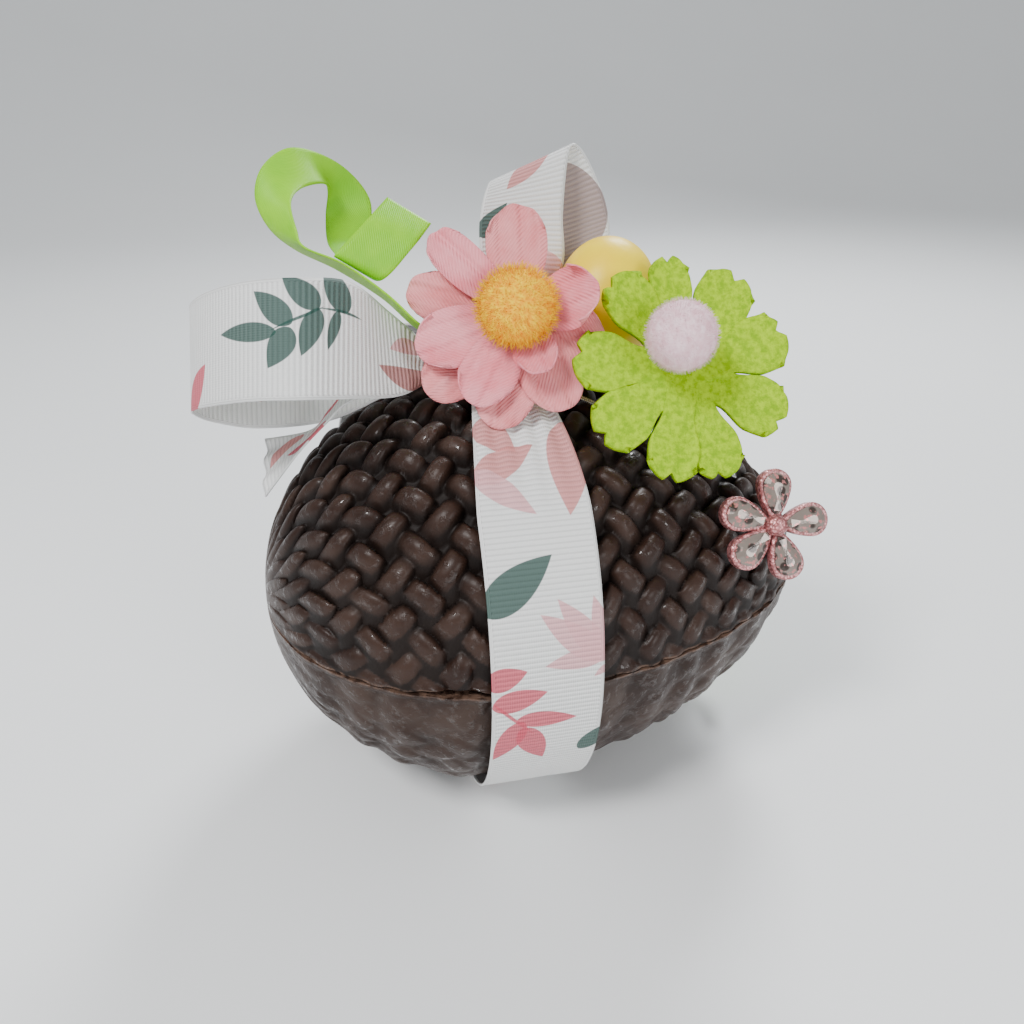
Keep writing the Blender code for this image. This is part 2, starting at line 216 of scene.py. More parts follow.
def dress(piece, material, slot, *nodes):
    """Gives a piece its material, its body and the CAD nodes that it stands for. The slot is not used."""
    piece.data.materials.clear()
    piece.data.materials.append(material)
    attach(piece, "root")
    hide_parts(*nodes)
    return piece


floor_paint = Paint("table", Roughness=0.6)
floor_look = floor_paint.blend(floor_paint.grain(6), (0.84, 0.85, 0.855), (0.88, 0.885, 0.89))
floor_paint.wear(Base_Color=floor_look)
SWEEP_START = 0.9
SWEEP_RADIUS = 0.8
floor_build = bmesh.new()
bmesh.ops.create_grid(floor_build, x_segments=1, y_segments=80, size=2.6)
for vertex in floor_build.verts:
    turn = (vertex.co.y - SWEEP_START) / SWEEP_RADIUS
    if turn > 0:
        bend = min(turn, math.pi / 2)
        vertex.co.z = SWEEP_RADIUS * (1 - math.cos(bend) + turn - bend)
        vertex.co.y = SWEEP_START + SWEEP_RADIUS * math.sin(bend)
floor_mesh = bpy.data.meshes.new("table")
floor_build.to_mesh(floor_mesh)
floor_mesh.shade_smooth()
floor_mesh.materials.append(floor_paint.material)
table = bpy.data.objects.new("table", floor_mesh)
bpy.context.scene.collection.objects.link(table)
print("table is", round(table.dimensions.x, 2), "m wide")

# %% [markdown]
# ## Measures and shaping tools
#
# The egg is a body of revolution on its side, with a flat seam at half height. Everything on
# top is laid out from the knot, in millimetres across, up and towards the viewer. Cloth starts
# as a flat grid that is bent into place, as a real strip is, and keeps its own millimetre map.

# %% Set the measures
EGG_RADIUS = 0.0542
BLUNT_LENGTH = 0.0595
POINTED_LENGTH = 0.0835
POINTED_POWER = 1.683
WIDEST_X = -0.002
FLAT_DROP = 0.0529
AXIS_Z = 0.0537
RIBBON_HALF = 12.5           # mm
RIBBON_THICKNESS = 0.0005
TOP = Vector((0, 0, AXIS_Z + EGG_RADIUS))
TOWARDS = Vector((
    math.sin(FACING_AZIMUTH) * math.cos(FACING_ELEVATION),
    -math.cos(FACING_AZIMUTH) * math.cos(FACING_ELEVATION),
    math.sin(FACING_ELEVATION)))
ACROSS = Vector((math.cos(FACING_AZIMUTH), math.sin(FACING_AZIMUTH), 0))
UPWARDS = TOWARDS.cross(ACROSS)
chance = random.Random(7)


def egg_radius(x):
    """Radius of the shell at a place along the axis."""
    along = x - WIDEST_X
    if along < 0:
        return EGG_RADIUS * math.sqrt(max(0.0, 1 - (along / BLUNT_LENGTH) ** 2))
    return EGG_RADIUS * math.sqrt(max(0.0, 1 - (along / POINTED_LENGTH) ** POINTED_POWER))


def shell_point(x, angle, lift):
    """A point above the shell, at an angle round it from the top (minus is the front)."""
    radius = egg_radius(x) + lift
    return Vector((x, radius * math.sin(angle), AXIS_Z + radius * math.cos(angle)))


def on_shell(point):
    along, degrees_round, lift = point
    return shell_point(along * MM, math.radians(degrees_round), lift * MM)


def display(point):
    """World place of a point given in display millimetres from the knot."""
    across, upwards, towards = point
    return TOP + (across * ACROSS + upwards * UPWARDS + towards * TOWARDS) * MM


def facing(centre, tilt=(0, 0)):
    """A frame whose Z faces the viewer, turned and tipped by a few degrees."""
    turn, tip = (math.radians(value) for value in tilt)
    axes = Matrix((ACROSS, UPWARDS, TOWARDS)).transposed().to_4x4()
    swing = Matrix.Rotation(turn, 4, "Y") @ Matrix.Rotation(-tip, 4, "X")
    return Matrix.Translation(display(centre)) @ axes @ swing


def new_piece(name, body, smooth=True):
    """Closes a mesh builder into an object at the origin."""
    mesh = bpy.data.meshes.new(name)
    body.to_mesh(mesh)
    body.free()
    if smooth:
        mesh.shade_smooth()
    piece = bpy.data.objects.new(name, mesh)
    bpy.context.scene.collection.objects.link(piece)
    return piece


def bent_grid(body, across, along, place, chart):
    """Adds a grid to a builder and bends it: place and chart take (0..1 across, 0..1 along)."""
    made = bmesh.ops.create_grid(body, x_segments=across, y_segments=along, size=0.5)["verts"]
    spots = {vertex: (vertex.co.x + 0.5, vertex.co.y + 0.5) for vertex in made}
    layer = body.loops.layers.uv.get("UVMap") or body.loops.layers.uv.new("UVMap")
    for face in {face for vertex in made for face in vertex.link_faces}:
        for loop in face.loops:
            loop[layer].uv = chart(*spots[loop.vert])
    for vertex, spot in spots.items():
        vertex.co = place(*spot)
    return made


def wall(piece, thickness):
    """An even wall to both sides of a sheet whose normals already agree."""
    solidify = piece.modifiers.new("wall", "SOLIDIFY")
    solidify.thickness = thickness
    solidify.offset = 0
    return piece


def tube(name, points, radius, around=10):
    """A round tube along points, closed at both ends. Its map is turns round and millimetres along."""
    body = bmesh.new()
    steps = len(points) - 1
    frames = []
    side = Vector((0, 1, 0.3))
    for index, point in enumerate(points):
        tangent = (points[min(index + 1, steps)] - points[max(index - 1, 0)]).normalized()
        side = (side - tangent * side.dot(tangent)).normalized()
        frames.append((point, side.copy(), tangent.cross(side)))

    def place(u, v):
        point, first, second = frames[round(v * steps)]
        turn = 2 * math.pi * u
        return point + radius * (math.cos(turn) * first + math.sin(turn) * second)

    length = sum((b - a).length for a, b in zip(points, points[1:]))
    bent_grid(body, around, steps, place, lambda u, v: (u, v * length / MM))
    bmesh.ops.remove_doubles(body, verts=body.verts, dist=radius * 0.02)
    bmesh.ops.holes_fill(body, edges=body.edges)
    bmesh.ops.recalc_face_normals(body, faces=body.faces)
    return new_piece(name, body), length


print("egg:", round((BLUNT_LENGTH + POINTED_LENGTH) / MM), "mm long,", round(2 * EGG_RADIUS / MM), "mm wide")

# %% [markdown]
# ## Silver cords
#
# The gem flower is sold on a doubled metallic cord. Its two strands run side by side over the
# shell from the knot to the flower. The spiral braid is a fine relief on a true round cord.

# %% Lay the two silver cords
CORD_DIAMETER = 0.0008
CORD_LIFT = 0.0010
CORD_SPACING = 0.0012
CORD_POINTS = 32
CORD_START = (0.012, math.radians(-7))
CORD_MIDDLE = (0.034, math.radians(-26))
CORD_END = (0.0555, math.radians(-33))


def cord_route(shift):
    """The points of one strand, on a smooth bend from the knot to the gem flower."""
    points = []
    for index in range(CORD_POINTS):
        t = index / (CORD_POINTS - 1)
        weights = ((1 - t) ** 2, 2 * t * (1 - t), t ** 2)
        route = (CORD_START, CORD_MIDDLE, CORD_END)
        x = sum(weight * place[0] for weight, place in zip(weights, route))
        angle = sum(weight * place[1] for weight, place in zip(weights, route))
        points.append(shell_point(x, angle - shift / EGG_RADIUS, CORD_LIFT))
    return points


silver_paint = Paint("silver braid", Metallic=1.0)
around, along = silver_paint.cloth_place()
braid = ((around * 2 + along * 1.1) * 2 * math.pi).sine() * ((around * 2 - along * 1.1) * 2 * math.pi).sine()
# Painted shade: the colour is darker down in the braid's grooves.
silver = silver_paint.wear(
    Base_Color=silver_paint.blend(braid.step(-0.6, 0.6), (0.30, 0.30, 0.31), (0.86, 0.86, 0.88)),
    Roughness=0.24 + 0.2 * silver_paint.grain(3000),
    Normal=silver_paint.relief(braid * 0.06))

for strand, shift in (("silver_cord_upper", -CORD_SPACING / 2), ("silver_cord_lower", CORD_SPACING / 2)):
    route = cord_route(shift)
    piece, length = tube("braided_" + strand, route, CORD_DIAMETER / 2)
    dress(piece, silver, "silver_cord", strand)
    print(strand, round(length / MM, 1), "mm")

# %% [markdown]
# ## The chocolate halves
#
# The mould's weave is two sets of diagonal strips that pass over and under one another. Each
# bump top is rounded and each crossing leaves a deep pocket. A mould must lift straight off, so
# below each bump the wall runs straight down to the seam as a flute. The upper half ends in a
# thin wavy lip, and the lower one in a rim that a knife has trimmed.

# %% Cast the two halves
WEAVE_PITCH_X = 0.0114
WEAVE_PITCH_ANGLE = math.radians(12.85)
WEAVE_ORIGIN_X = -0.0020
WEAVE_DEPTH = 0.0034
STRIP_HALF_WIDTH = 0.30
END_FADE = 0.010
LIP_HEIGHT = 0.0016
SEAM_GAP = 0.0004
OPEN_SEAM_X = -0.0185
OPEN_SEAM_WIDTH = 0.0085
OPEN_SEAM_GAP = 0.0016


def weave_depth(x, angle):
    """0 on the bump tops to 1 in the pockets, for arrays of places."""
    column = (x - WEAVE_ORIGIN_X) / WEAVE_PITCH_X
    row = angle / WEAVE_PITCH_ANGLE
    falling, rising = column + row, column - row
    height = np.full_like(column, -1.2)
    for across, along, side in ((falling, rising, 1), (rising, falling, -1)):
        strip = np.round(across)
        wander = 0.05 * np.sin(along * 2.1 + strip * 5.3)
        offset = np.abs(across + wander - strip) / STRIP_HALF_WIDTH
        wave = side * np.cos(np.pi * (along - strip))
        wave = np.sign(wave) * np.abs(wave) ** 0.6
        crown = np.sqrt(np.clip(1 - offset ** 2, 0, 1))
        own = 0.09 * np.sin(strip * 12.9 + np.round(along) * 78.2)
        height = np.where(offset < 1, np.maximum(height, 0.5 * wave - 0.5 + 0.55 * (crown - 1) + own), height)
    return -height


def cast_half(name, side, columns, rows):
    """Half a shell: a grid bent over the mould, with its flat seam face closed."""
    body = bmesh.new()
    bmesh.ops.create_grid(body, x_segments=columns, y_segments=rows, size=0.5)
    body.verts.ensure_lookup_table()
    flat = np.array([vertex.co for vertex in body.verts])
    column = np.rint((flat[:, 0] + 0.5) * columns).astype(int)
    row = np.rint((flat[:, 1] + 0.5) * rows).astype(int)
    first, last = WIDEST_X - BLUNT_LENGTH, WIDEST_X + POINTED_LENGTH
    x_line = (first + last) / 2 - (last - first) / 2 * np.cos(np.pi * np.linspace(0, 1, columns + 1)) * 0.35
    x_line += (np.linspace(0, 1, columns + 1) - 0.5) * (last - first) * 0.65
    angle_line = np.linspace(-np.pi / 2, np.pi / 2, rows + 1)
    radius = np.array([egg_radius(x) for x in x_line])
    x, angle = np.meshgrid(x_line, angle_line, indexing="ij")
    from_seam = np.pi / 2 - np.abs(angle)
    fade = np.clip(np.minimum(x - first, last - x) / END_FADE, 0, 1)
    depth = weave_depth(x, from_seam)
    if side < 0:
        flute = 0.5 + 0.5 * np.cos(2 * np.pi * (x - WEAVE_ORIGIN_X) / WEAVE_PITCH_X + 1.2 * np.sin(x * 160))
        depth = 0.14 * depth + 0.30 * flute
    ripple = np.array([noise.noise((p * 150, q * 9, side * 3.0)) for p, q in zip(x.ravel(), angle.ravel())])
    local = radius[:, None] - WEAVE_DEPTH * depth * fade + 0.00035 * ripple.reshape(x.shape) * fade
    reach = local * np.cos(from_seam)
    height = local * np.sin(from_seam)
    middle = rows // 2
    reach[:, middle:] = np.maximum.accumulate(reach[:, middle:], axis=1)
    reach[:, :middle + 1] = np.maximum.accumulate(reach[:, middle::-1], axis=1)[:, ::-1]
    rim = np.clip(1 - height / LIP_HEIGHT, 0, 1)
    wavy = np.sin(x * 330 + np.sign(angle)) * 0.5 + np.sin(x * 790) * 0.5
    proud = 0.0002 + 0.00025 * wavy if side > 0 else 0.0007 + 0.00025 * wavy
    outline = radius[:, None]
    reach = np.where(rim > 0, np.maximum(reach, outline - 0.0006), reach)
    reach = reach + proud * np.minimum(1, rim * 3) * np.clip(outline / 0.02, 0, 1)
    opening = np.exp(-((x - OPEN_SEAM_X) / OPEN_SEAM_WIDTH) ** 4) * (angle < 0)
    lifted = np.full_like(rim, SEAM_GAP / 2)
    if side > 0:
        lifted += opening * OPEN_SEAM_GAP * rim
    limit = EGG_RADIUS if side > 0 else FLAT_DROP - SEAM_GAP / 2
    z = AXIS_Z + side * (np.minimum(height, limit) + lifted)
    y = np.sign(angle) * reach
    hollow = np.clip(depth * fade, 0, 1.2)
    shade = body.verts.layers.float.new("pocket")
    edge = body.verts.layers.float.new("trimmed")
    for vertex, i, j in zip(body.verts, column, row):
        vertex.co = (x[i, j], y[i, j], z[i, j])
        vertex[shade] = hollow[i, j]
        vertex[edge] = rim[i, j]
    bmesh.ops.remove_doubles(body, verts=body.verts, dist=0.00002)
    bmesh.ops.holes_fill(body, edges=body.edges)
    bmesh.ops.recalc_face_normals(body, faces=body.faces)
    piece = new_piece(name, body)
    piece.data.set_sharp_from_angle(angle=math.radians(70))
    return piece


upper_half = cast_half("cast_upper_half", 1, 340, 280)
lower_half = cast_half("cast_lower_half", -1, 300, 200)
print("upper half has", len(upper_half.data.polygons), "faces")

# %% [markdown]
# Tempered dark chocolate is a near-black brown. Its cocoa butter gives a satin skin with small
# bright glints where it set against the mould, and a grey bloom where it was handled.

# %% Temper the chocolate
def chocolate_paint(name, bloom):
    paint = Paint(name, IOR=1.45, Specular_IOR_Level=0.28, Coat_Roughness=0.06)
    pocket = paint.stored("pocket")
    trimmed = paint.stored("trimmed")
    cloud = paint.grain(70, 4)
    speck = paint.grain(900, 2)
    body = paint.blend(cloud.step(0.35, 0.7), (0.020, 0.0082, 0.0050), (0.036, 0.0160, 0.0100))
    bloomed = paint.blend((cloud * 1.3 - 0.35).step(0.1, 0.6) * bloom, body, (0.056, 0.038, 0.030))
    # Painted shade: the pockets between the strips, and the flutes of the lower half, are darkened in the
    # colour.
    shaded_pockets = paint.blend(pocket.step(0.2, 0.9) * 0.85, bloomed, (0.004, 0.0018, 0.0012))
    rim = trimmed.step(0.55, 0.9) * paint.grain(450, 3).step(0.35, 0.6)
    whole = paint.blend(rim * 0.8, shaded_pockets, (0.125, 0.074, 0.052))
    glint = paint.grain(520, 3).step(0.5, 0.75) * (1 - pocket.step(0.1, 0.7))
    bumps = paint.grain(240, 4) * 0.20 + speck * 0.02 + rim * 0.1 + glint * 0.22
    return paint.wear(
        Base_Color=whole,
        Roughness=0.30 + cloud * 0.2 + pocket * 0.2,
        Coat_Weight=glint * 0.8,
        Normal=paint.relief(bumps))


dress(upper_half, chocolate_paint("dark chocolate", 0.25), "chocolate", "egg_upper_half")
dress(lower_half, chocolate_paint("bloomed chocolate", 0.6), "chocolate", "egg_lower_half")

# %% [markdown]
# ## The printed ribbon
#
# Grosgrain has fine ribs across its width and a firm woven edge. The print is leaves in faded
# rose and dark green: each is a pointed oval, worked out in the ribbon's own millimetres. The
# grey-mauve oval inside the upright loop is painted shade, drawn the same way.

# %% Print the ribbon
ROSE = (0.60, 0.085, 0.125)
FADED = (0.62, 0.24, 0.23)
PALE = (0.72, 0.38, 0.40)
DUSKY = (0.42, 0.17, 0.16)
LOOP_INSIDE_SHADE = (0.34, 0.25, 0.24)
PINE = (0.018, 0.070, 0.055)
CLOTH = (0.80, 0.80, 0.79)
CLOTH_SHADE = (0.72, 0.72, 0.711)
RIB_SPACING = 1.2


def leaf(across, along, start, end, width):
    """1 inside a pointed oval from its stalk to its tip, all in millimetres: a printed leaf, or an oval of
    painted shade.
    """
    length = math.dist(start, end)
    cos, sin = (end[0] - start[0]) / length, (end[1] - start[1]) / length
    way = (((across - start[0]) * cos + (along - start[1]) * sin) / length).at_least(0.0)
    beside = abs((along - start[1]) * cos - (across - start[0]) * sin)
    half = way ** 0.6 * (1 - way) * (1.44 * width)
    return (half - beside).step(0.0, 0.25)


def printed_cloth(name, leaves):
    """Ribbed white cloth with a woven edge and printed leaves, with painted shade in its grooves and in any
    oval of shade among the leaves.
    """
    paint = Paint(name, Specular_IOR_Level=0.25)
    across, along = paint.cloth_place()
    rib = (along * (2 * math.pi / RIB_SPACING)).sine()
    thread = (across * (2 * math.pi / 0.5)).sine()
    selvedge = abs(across).step(RIBBON_HALF - 0.9, RIBBON_HALF - 0.7)
    look = paint.blend(paint.grain(60) * 0.5, CLOTH, CLOTH_SHADE)
    for start, end, width, colour in leaves:
        look = paint.blend(leaf(across, along, start, end, width) * 0.92, look, colour)
    # Painted shade: the grooves between the ribs, and between the threads of the woven edge, are darkened in
    # the colour.
    groove_shade_mask = rib.step(-1.0, -0.2) * (1 - selvedge) + selvedge * thread.step(-1, 0)
    shaded = paint.node("Mix", {0: 1.0, 6: look, 7: paint.blend(groove_shade_mask, (0.80,) * 3, (1.0,) * 3)},
                        output=2, data_type="RGBA", blend_type="MULTIPLY")
    height = rib * 0.10 * (1 - selvedge) + thread * 0.02 + selvedge * 0.12 + paint.grain(1500) * 0.03
    roughness = 0.52 + paint.grain(200) * 0.15
    return paint.wear(Base_Color=shaded, Roughness=roughness, Normal=paint.relief(height))


BAND_LEAVES = (
    ((-13.5, 66), (2.5, 54.6), 8.5, PINE), ((8.5, 106.5), (15, 97), 5.5, PINE),
    ((-13, 37), (2.5, 29.5), 7.5, FADED), ((-12, 22), (-2, 31), 8, FADED),
    ((-13, 35), (0.5, 46), 6, PALE), ((12, 24), (7.5, 47), 10, FADED),
    ((13, 79), (-1.5, 67), 6.5, PALE), ((13, 79), (2.5, 64), 6, PALE), ((13.5, 79), (10.5, 64), 5, PALE),
    ((13, 77.5), (-1, 79), 5, PALE), ((14, 80), (10, 83), 2, PALE),
    ((-14, 82), (-4.5, 79.5), 6, ROSE), ((-12.5, 88), (0, 85.2), 6, ROSE), ((-7, 92.5), (7, 93.6), 5, ROSE),
    ((-5.5, 93), (-12, 106), 6, ROSE), ((-5.5, 95), (0, 108), 6.5, ROSE),
    ((-12.5, 86.5), (-2, 98.5), 1.1, ROSE),
    ((6, 128), (-4, 140), 8, PINE), ((-10, 150), (2, 158), 7, FADED), ((9, 166), (-2, 176), 7, ROSE),
    ((-12, 200), (2, 190), 8, PINE), ((10, 214), (0, 226), 8, FADED), ((-10, 240), (0, 252), 7, ROSE),
    ((9, 262), (-3, 270), 8, PINE), ((-11, 290), (1, 300), 7, FADED))
band_cloth = printed_cloth("ribbon print round the egg", BAND_LEAVES)
print("band print has", len(BAND_LEAVES), "leaves")

# %% [markdown]
# ## Band, knot, loops and tails
#
# The band is gathered into pleats where the knot pinches it. Each loop is the same strip, given
# as the places of its two edges, with a smooth curve through them.

# %% Wind the ribbon round the egg
TOUCH_GAP = 0.0003
BAND_MIDDLE = EGG_RADIUS + 2 * TOUCH_GAP + RIBBON_THICKNESS / 2
PINCHED_WIDTH = 0.013
PINCH_ANGLE = math.radians(48)


def band_place(u, v):
    """Goes round from the top by the front, flat where it lies on the table."""
    angle = 2 * math.pi * v
    from_top = min(angle, 2 * math.pi - angle)
    gathered = max(0.0, 1 - from_top / PINCH_ANGLE)
    half = (0.025 - (0.025 - PINCHED_WIDTH) * gathered ** 1.3) / 2
    pleat = 0.0007 * (1 + math.sin(9 * math.pi * (u - 0.5))) * gathered ** 0.6
    radius = BAND_MIDDLE + pleat
    height = max(AXIS_Z + radius * math.cos(angle), RIBBON_THICKNESS / 2)
    return ((2 * u - 1) * half, -radius * math.sin(angle), height)


band_length = 2 * math.pi * BAND_MIDDLE
band_build = bmesh.new()
bent_grid(band_build, 24, 260, band_place,
          lambda u, v: ((2 * u - 1) * RIBBON_HALF, v * band_length / MM))
bmesh.ops.remove_doubles(band_build, verts=band_build.verts, dist=0.00001)
bmesh.ops.recalc_face_normals(band_build, faces=band_build.faces)
band = wall(new_piece("grosgrain_band", band_build), RIBBON_THICKNESS)
dress(band, band_cloth, "printed_ribbon", "ribbon_band")
print("band", round(band_length / MM), "mm long")

# %% [markdown]
# A loop's two edges are lists of stations from the knot outwards and back. The strip's own
# millimetre map follows its measured length, so the print and the ribs stay true to size.

# %% Shape the loops and tails
LEFT_LOOP = (
    ((-9, 3, 5), (-9, 0, 7)), ((-16, 6, 9), (-16, -3, 11)), ((-24, 12, 17), (-22, -7, 18)),
    ((-31, 16, 28), (-31, -9, 29)), ((-40, 15, 35), (-40, -10, 35)), ((-50, 15, 33), (-50, -10, 33)),
    ((-59, 15, 27), (-59, -10, 27)), ((-67, 15, 18), (-67, -10, 19)), ((-72, 15, 8), (-71, -10, 9)),
    ((-70, 14, 0), (-69, -11, 1)), ((-60, 13, -5), (-59, -12, -4)), ((-42, 14, -5), (-41, -10, -3)),
    ((-25, 13, -3), (-24, -3, 0)), ((-9, 5, 0), (-9, 2, 2)))
UPRIGHT_LOOP = (
    ((-3, 10, 4), (4, 10, 4)), ((-4, 17, 6), (11, 16, 4)), ((-4, 27, 8), (16, 28, 0)),
    ((-4, 37, 7), (16, 41, -2)), ((-2, 46, 4), (18, 58, -5)), ((1, 47, -3), (22, 59, -10)),
    ((5, 38, -8), (28, 47, -14)), ((6, 24, -7), (28, 35, -13)), ((3, 14, -4), (19, 17, -7)),
    ((-3, 10, -1), (5, 10, -1)))
LEFT_TAIL = (
    ((-9, -1, 3), (-9, -2, 5)), ((-21, 0, 5), (-21, -3, 8)), ((-34, -3, 6), (-34, -7, 10)),
    ((-40, -8, 4), (-40, -12, 9)), ((-45, -13, 2), (-46, -18, 8)), ((-57, -15, -2), (-56, -29, 4)))
GREEN_CURL = (
    ((-14, 8, 12), (-13, 8, 16)), ((-19, 10, 12), (-17, 9, 19)), ((-26, 16, 14), (-24, 15, 22)),
    ((-36, 22, 16), (-33, 21, 24)), ((-45, 26, 18), (-41, 24, 26)), ((-51, 31, 18), (-43, 28, 25)),
    ((-54, 38, 18), (-45, 35, 22)), ((-52, 45, 18), (-44, 40, 17)), ((-46, 50, 15), (-40, 43, 12)),
    ((-37, 49, 8), (-40, 43, 7)), ((-31, 43, 2), (-41, 38, 5)), ((-31, 33, 4), (-40, 31, 8)),
    ((-33, 26, 10), (-36, 25, 18)), ((-26, 19, 18), (-35, 24, 22)), ((-19, 26, 18), (-29, 32, 19)),
    ((-15, 33, 14), (-25, 39, 14)))
BACK_TAIL = (
    ((-4, 5, 3), (-3, 9, 3)), ((-14, 8, 12), (-6, 16, 10)), ((-26, 16, 16), (-8, 30, 12)),
    ((-34, 34, 12), (-14, 48, 9)), ((-40, 58, 6), (-19, 66, 5)), ((-42, 84, 4), (-22, 92, 4)))
GREEN_TAIL = (
    ((7.5, 6, 2.5), (10, 3, 2.5)), ((18, 24, 3), (25, 14, 3)), ((36, 52, 4), (44, 42, 4)),
    ((54, 86, 6), (63, 78, 6)), ((66, 122, 9), (76, 118, 10)), ((66, 160, 12), (75, 160, 14)),
    ((66, 189, 13), (68, 188, 14)))


def rail_point(rail, place):
    """Catmull-Rom point on one edge, at a place counted in stations."""
    index = min(int(place), len(rail) - 2)
    t = place - index
    before, start = rail[max(index - 1, 0)], rail[index]
    end, after = rail[index + 1], rail[min(index + 2, len(rail) - 1)]
    return 0.5 * (2 * start + (end - before) * t
                  + (2 * before - 5 * start + 4 * end - after) * t ** 2
                  + (3 * start - before - 3 * end + after) * t ** 3)


def strip(name, stations, half_width, steps, place, thickness=RIBBON_THICKNESS, pleats=0.6, across=16):
    """A ribbon through its two edges. Returns the piece, its length in millimetres and its area."""
    rails = [[place(Vector(station[edge])) for station in stations] for edge in (0, 1)]
    spans = len(stations) - 1
    rows = [[rail_point(rail, step / steps * spans) for rail in rails] for step in range(steps + 1)]
    middles = [(pair[0] + pair[1]) / 2 for pair in rows]
    widths = [(pair[1] - pair[0]).length for pair in rows]
    marks = [0.0]
    area = 0.0
    for index in range(steps):
        run = (middles[index + 1] - middles[index]).length
        marks.append(marks[-1] + run / MM)
        area += run * (widths[index] + widths[index + 1]) / 2

    def bend(u, v):
        index = round(v * steps)
        first, second = rows[index]
        run = middles[min(index + 1, steps)] - middles[max(index - 1, 0)]
        out = run.cross(second - first).normalized()
        ends = max(0.0, 1 - min(v, 1 - v) / 0.16)
        gather = pleats * MM * ends * math.cos(5 * math.pi * u)
        return first.lerp(second, u) + out * gather

    body = bmesh.new()
    bent_grid(body, across, steps, bend, lambda u, v: ((1 - 2 * u) * half_width, marks[round(v * steps)]))
    bmesh.ops.recalc_face_normals(body, faces=body.faces)
    return wall(new_piece(name, body), thickness), marks[-1], area


LOOP_LEAVES = (
    ((5.2, 28.5), (6.4, 41), 0.9, PINE), ((6.6, 38), (1.2, 51), 0.9, PINE), ((1.5, 48), (2.3, 64), 4.4, PINE),
    ((3.1, 44.8), (10.3, 53.5), 5.4, PINE), ((6.3, 39.2), (13.2, 47), 5.2, PINE),
    ((5.7, 32.6), (15, 38.5), 6, PINE),
    ((5.9, 34.8), (-2.6, 37.4), 3, PINE), ((6.2, 39.4), (-3.7, 43), 5, PINE), ((2.3, 45), (-6, 50), 6, PINE),
    ((-14, 80), (-3, 70), 7.5, ROSE), ((-12, 2), (-4, 24), 9, DUSKY), ((8, 8), (1, 20), 6, PALE),
    ((4, 96), (-6, 108), 8, PALE), ((10, 120), (-4, 130), 9, FADED),
    ((-8, 140), (4, 148), 8, PINE))
UPRIGHT_LEAVES_AND_SHADE = (
    ((-4, 49), (6, 38), 9, FADED), ((12.5, 24), (5, 34), 6, PINE), ((-13, 14), (-4, 22), 6, PALE),
    # The last oval is painted shade on the inside of the loop, not a printed leaf.
    ((-3, 50), (3, 88), 24, LOOP_INSIDE_SHADE))
TAIL_LEAVES = (
    ((12, 26), (2, 42), 8, ROSE), ((-12, 34), (-2, 48), 8, ROSE), ((2, 8), (-6, 20), 6, PALE),
    ((10, 44), (-2, 54), 6, FADED))
LEAST_SHARE = 0.31


def declare_ribbon(piece, width, length, modelled_area):
    """The real cut is the whole rectangle of width and length.

    The pleats that gather it at the knot aren't modelled in full, so the strip has less cloth than
    that.
    """
    share = min(1.0, max(LEAST_SHARE, modelled_area / (width * length)))
    share * width * length


for name, node, stations, leaves, steps, place in (
        ("left_loop", "bow_loop_left", LEFT_LOOP, LOOP_LEAVES, 130, display),
        ("upright_loop", "bow_loop_upright", UPRIGHT_LOOP, UPRIGHT_LEAVES_AND_SHADE, 100, display),
        ("left_tail", "ribbon_tail_left", LEFT_TAIL, TAIL_LEAVES, 50, display),
        ("back_tail", "ribbon_tail_back", BACK_TAIL, TAIL_LEAVES, 50, on_shell)):
    piece, length, modelled_area = strip(name, stations, RIBBON_HALF, steps, place)
    dress(piece, printed_cloth(name + " print", leaves), "printed_ribbon", node)
    declare_ribbon(piece, 0.025, length * MM, modelled_area)
    print(name, round(length), "mm long")

# %% [markdown]
# The knot is the same ribbon wound tight over itself, so it is a lump with deep soft folds.

# %% Tie the knot
KNOT_CENTRE = TOP + Vector((0, 0, 0.0058))
KNOT_SIZE = Vector((0.013, 0.012, 0.0095))

knot_build = bmesh.new()
bmesh.ops.create_uvsphere(knot_build, u_segments=48, v_segments=32, radius=0.5, calc_uvs=True)
for vertex in knot_build.verts:
    fold = 1 + 0.05 * math.sin(26 * vertex.co.x + 5 * vertex.co.z) - 0.02
    vertex.co = KNOT_CENTRE + Vector(a * b * fold for a, b in zip(vertex.co, KNOT_SIZE))
knot_layer = knot_build.loops.layers.uv.active or knot_build.loops.layers.uv.new("UVMap")
for face in knot_build.faces:
    for loop in face.loops:
        loop[knot_layer].uv = ((loop.vert.co - KNOT_CENTRE).x / MM, (loop.vert.co - KNOT_CENTRE).z / MM * 1.6)
knot = new_piece("tied_knot", knot_build)
knot.data.uv_layers[0].name = "UVMap"
knot_cloth = printed_cloth("ribbon print on the knot", (((-6, -4), (4, 6), 5, PALE),))
dress(knot, knot_cloth, "printed_ribbon", "ribbon_knot")
print("knot", [round(side / MM) for side in KNOT_SIZE], "mm")

# %% [markdown]
# ## Lime satin
#
# The second ribbon is a narrower single-face satin. Satin floats run lengthwise, so it has a
# soft gloss, broken by fine slanted weave lines.

# %% Curl the green ribbon
SATIN_WIDTH = 0.0104
SATIN_HALF = 5.2
SATIN_THICKNESS = 0.0004

